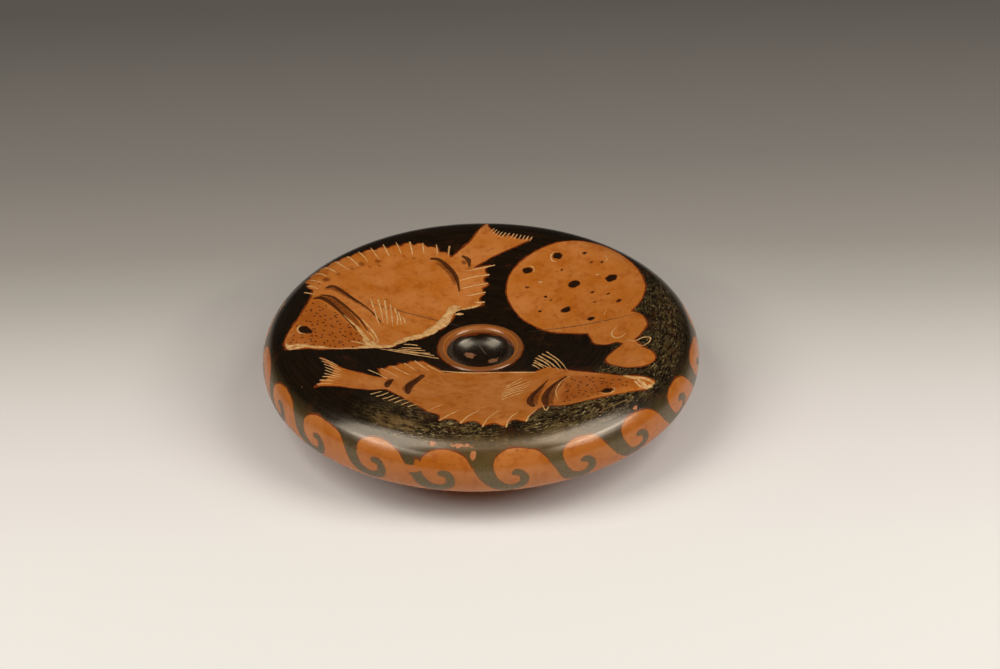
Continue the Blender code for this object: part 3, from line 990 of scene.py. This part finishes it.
fan([(-55.5, -33.1), (-43.2, -25.2), (-32.7, -15.8), (-26.6, -18.6)],
    [(-46.3, -40.3), (-35.5, -33.8), (-29.5, -25.4), (-19.1, -25.3)], 6)
fan([(-79.2, -28.9), (-76.4, -36), (-76.2, -44), (-79.6, -52.4)],
    [(-70, -33.8), (-68.4, -38.4), (-68.2, -44.6), (-71, -52.6)], 9, 0.9)
# the other strokes on gills, mouths, bellies, eyes and spots, each with its points and its width
for points, width in (
        ([(-68.9, 14.9), (-64.4, 9.3), (-59.9, 3.9), (-57.3, -2.2)], 1.2),
        ([(-65.5, 10.5), (-60, 3.6), (-55.4, -3.6)], 1.1),
        ([(-62.8, 6.6), (-58.3, -0.9), (-53.6, -6.6)], 1.3),
        ([(-60, 14.5), (-54.4, 6), (-51.4, -2.2), (-53.5, -7.4)], 1.4),
        ([(-57.4, 5.4), (-53.8, 0), (-52.8, -5)], 0.9),
        ([(-58.6, -2), (-56.8, -6), (-54.4, -9)], 2.2),
        ([(-54.6, -3), (-53, -6.4), (-51.6, -8.4)], 2.0),
        ([(-65, -7.5), (-59.5, -7.6), (-55.5, -8.6)], 1.1),
        ([(-96.6, -14.6), (-95.4, -17.6), (-91.6, -18.4)], 2.2),
        ([(-96.2, -18), (-93.5, -20.4), (-87.6, -20.6)], 2.6),
        ([(-92.5, -17.6), (-87, -19), (-81.6, -19.2)], 2.4),
        ([(-84, -20), (-79.5, -18.4), (-75.5, -17.6)], 2.4),
        ([(-77, -18.6), (-70, -16.4), (-60, -12.4), (-52, -9.4)], 1.1),
        ([(-61, -11.8), (-53, -8.4), (-46, -6), (-42.4, -3.4)], 3.0),
        ([(-59, -4), (-55.4, -7), (-50.6, -7.6)], 3.0),
        ([(-43.4, -3.2), (-40.6, 0), (-36.2, 3.4)], 2.8),
        ([(-38.8, 2.4), (-33, 5.8), (-27.8, 9.6)], 2.6),
        ([(-30, 8), (-25.2, 12.6), (-20.6, 17.6)], 3.2),
        ([(-22.4, 15.6), (-17.8, 21), (-14.6, 26.6)], 3.4),
        ([(-16.4, 23.6), (-14, 30), (-9.6, 32)], 3.2),
        ([(-29.4, 10.4), (-24.9, 15), (-20.6, 20.6)], 3.2),
        ([(-22.4, 18.6), (-18.6, 24), (-15.6, 30)], 3.2),
        ([(-17, 27.4), (-14.4, 32.4), (-9.6, 33.8)], 3.0),
        ([(-39, 3.4), (-33.6, 6.8), (-28.4, 10.6)], 2.2),
        ([(-11, 31.6), (-4, 33.4), (0.8, 35.2)], 1.5),
        ([(-12.8, 28.2), (-10.6, 28.6), (-8.2, 28.6)], 1.7),
        ([(-21, -23.6), (-6, -23.2), (9, -23.8)], 1.7),
        ([(7, -23.8), (18, -27), (27, -30.2)], 1.5),
        ([(-89.4, 0.4), (-91.2, -3), (-90.6, -6.6), (-87.6, -8.6)], 1.2),
        ([(-25.5, -74.4), (-22.4, -70), (-18.6, -66.2)], 0.55),
        ([(43.3, -41), (38.6, -47), (35.8, -56.8), (36.6, -66.7)], 0.75),
        ([(56, -65.6), (59.5, -67.4), (63, -65.6), (63.8, -62.9), (62.4, -61)], 0.7),
        ([(68.6, -51.8), (72.5, -54), (77, -55.4)], 2.2),
        ([(74.5, -53.8), (79.5, -54.4), (83.6, -56.2)], 1.7),
        ([(75, -55.6), (78, -58), (79.4, -61.2)], 2.6),
        ([(82.8, -56.6), (80.4, -59.2), (77.6, -61)], 2.0),
        ([(73.6, -56.4), (75.6, -59.4), (78, -61)], 1.8),
        ([(28.8, -71.5), (30.3, -79), (31.9, -73.4)], 0.8),
        ([(69, -1.6), (66.4, -4.2), (65.6, -8.3), (67.7, -11.9), (70.8, -11.2), (72.8, -8.6)], slip_width),
        ([(72.5, -16), (76.6, -18.6), (80.7, -17), (84, -18.8), (83.2, -22.8), (80.1, -24.8),
          (77, -22)], slip_width),
        ([(40.4, 68.6), (38, 65.8), (38.8, 61.6), (41, 60.6)], 0.8),
        ([(26.6, 60.2), (28.8, 58.6), (28.8, 55)], 0.8),
        ([(66, 60.8), (67, 56), (64.8, 54)], 0.5),
        ([(31, 48.4), (31.6, 47.2), (33, 47.6)], 0.9),
        ([(60.6, 46.2), (61.6, 45.4), (62.2, 46.2)], 0.8),
        ([(63, 12.4), (63.6, 14.2), (64.4, 14.6)], 0.6),
        ([(61, 6.6), (62, 5.4), (63, 5.8)], 0.7)):
    slip_stroke(points, width)

slip_mesh = bpy.data.meshes.new("added_white")
slip_mesh.from_pydata(np.array(slip_points) * mm, [], slip_faces)
slip_mesh.shade_smooth()
added_white = bpy.data.objects.new("added_white", slip_mesh)
bpy.context.collection.objects.link(added_white)
slip_finish = Finish("added_white")
slip_place = slip_finish.add("ShaderNodeTexCoord", {}, "Object")
slip_cream = seen_colour(202, 160, 102)
slip_tan = seen_colour(170, 118, 62)
slip_mottle = slip_finish.step(slip_finish.noise(slip_place, 420, 3), 0.35, 0.68)
slip_finish.set("Base Color", slip_finish.blend(slip_mottle, slip_cream, slip_tan))
slip_finish.set("Roughness", 0.6)
slip_mesh.materials.append(slip_finish.material)
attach(added_white, "root")

# Floor, light and camera
# A pale studio sweep, painted darker towards the back as a painted shade of the light's fall-off, under a
# large soft box high on each side, a narrow strip light a little lower on each side, and a weaker box in
# front. They leave a double shine in the hollow and along the near shoulder. The camera looks down from the
# front through a long lens.
floor_mesh = bpy.data.meshes.new("floor")
floor_mesh.from_pydata([(-3, -1.2, 0), (3, -1.2, 0), (3, 4, 0), (-3, 4, 0)], [], [(0, 1, 2, 3)])
floor = bpy.data.objects.new("floor", floor_mesh)
bpy.context.collection.objects.link(floor)
paper = Finish("floor")
paper_place = paper.add("ShaderNodeTexCoord", {}, "Object")
paper_parts = paper.tree.nodes.new("ShaderNodeSeparateXYZ")
paper.tree.links.new(paper_place, paper_parts.inputs[0])
paper_ramp = paper.tree.nodes.new("ShaderNodeValToRGB")
sweep_start = -0.25
sweep_end = 0.5
paper.tree.links.new(paper.step(paper_parts.outputs[1], sweep_start, sweep_end), paper_ramp.inputs[0])
# the sweep's painted shade: its tone is painted darker behind the plate, where the light falls off: distance
# back in metres, then red, green and blue
sweep_painted_falloff = [(-0.2, 0.775, 0.755, 0.712), (-0.12, 0.78, 0.752, 0.708), (-0.05, 0.745, 0.7, 0.666),
               (0.0, 0.68, 0.635, 0.6), (0.05, 0.575, 0.535, 0.49), (0.1, 0.43, 0.4, 0.36),
               (0.15, 0.325, 0.296, 0.26), (0.25, 0.235, 0.213, 0.19), (0.46, 0.138, 0.126, 0.111)]
for distance, red, green, blue in sweep_painted_falloff[1:-1]:
    paper_ramp.color_ramp.elements.new((distance - sweep_start) / (sweep_end - sweep_start))
for stop, (distance, red, green, blue) in zip(paper_ramp.color_ramp.elements, sweep_painted_falloff):
    stop.position = (distance - sweep_start) / (sweep_end - sweep_start)
    stop.color = (red, green, blue, 1)
paper.tree.links.new(paper_ramp.outputs[0], paper.shader.inputs["Base Color"])
paper.set("Roughness", 0.9)
floor_mesh.materials.append(paper.material)
floor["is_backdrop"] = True
# the place near the middle of the hollow that every light faces
lights_aim = Vector((0, 0, 0.03))


def soft_box(name, place, width, length, power):
    """A large soft light that faces the plate."""
    light = bpy.data.lights.new(name, "AREA")
    light.shape = "RECTANGLE"
    light.size = width
    light.size_y = length
    light.energy = power
    light.color = (1, 0.97, 0.93)
    holder = bpy.data.objects.new(name, light)
    holder.location = place
    holder.rotation_euler = (lights_aim - Vector(place)).to_track_quat("-Z", "Y").to_euler()
    bpy.context.collection.objects.link(holder)


soft_box("soft_box_left", (-0.76, -0.37, 1.0), 0.7, 1.0, 9.8)
soft_box("soft_box_right", (0.86, -0.37, 0.96), 0.7, 1.0, 10.1)
soft_box("low_strip_left", (-0.82, -0.66, 0.78), 0.8, 0.11, 2.1)
soft_box("low_strip_right", (0.94, -0.58, 0.74), 0.8, 0.13, 2.9)
soft_box("soft_box_front", (0, -0.5, 1.3), 1.2, 0.6, 2.0)

sky = bpy.data.worlds.new("studio")
sky.use_nodes = True
sky_light = sky.node_tree.nodes["Background"]
sky_light.inputs["Color"].default_value = (1, 0.9, 0.78, 1)
sky_light.inputs["Strength"].default_value = 0.03
bpy.context.scene.world = sky
bpy.context.scene.view_settings.view_transform = "Standard"

lens = 90.0
aim_distance = 1.259
aim_elevation = math.radians(33.37)
aim_point = Vector((0, 0, floor_height * mm))
camera_roll = math.radians(1.41)
sensor_width = 36
# in the picture's pixels: its width, its middle, and where the aim point is seen in it
picture_width = 1000
picture_middle = (500, 334.5)
aim_pixel = (480.5, 347.7)
lens_pixels = lens / sensor_width * picture_width
aim_shift = Vector(((aim_pixel[0] - picture_middle[0]) / lens_pixels,
                    (picture_middle[1] - aim_pixel[1]) / lens_pixels, -1))
camera_data = bpy.data.cameras.new("camera")
camera_data.lens = lens
camera_data.sensor_width = sensor_width
camera = bpy.data.objects.new("camera", camera_data)
away = Vector((0, -math.cos(aim_elevation), math.sin(aim_elevation)))
level_turn = (-away).to_track_quat("-Z", "Y")
aim_turn = aim_shift.rotation_difference(Vector((0, 0, -1)))
camera_turn = level_turn @ Quaternion((0, 0, 1), -camera_roll) @ aim_turn
camera.matrix_world = Matrix.Translation(aim_point + away * aim_distance) @ camera_turn.to_matrix().to_4x4()
bpy.context.collection.objects.link(camera)
bpy.context.scene.camera = camera


def as_lists(value):
    """Plain nested lists of the numbers in a set of bounds."""
    if isinstance(value, dict):
        return {key: as_lists(part) for key, part in value.items()}
    if isinstance(value, (int, float)):
        return float(value)
    return [as_lists(part) for part in value]


as_lists(solid_box)
as_lists(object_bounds())
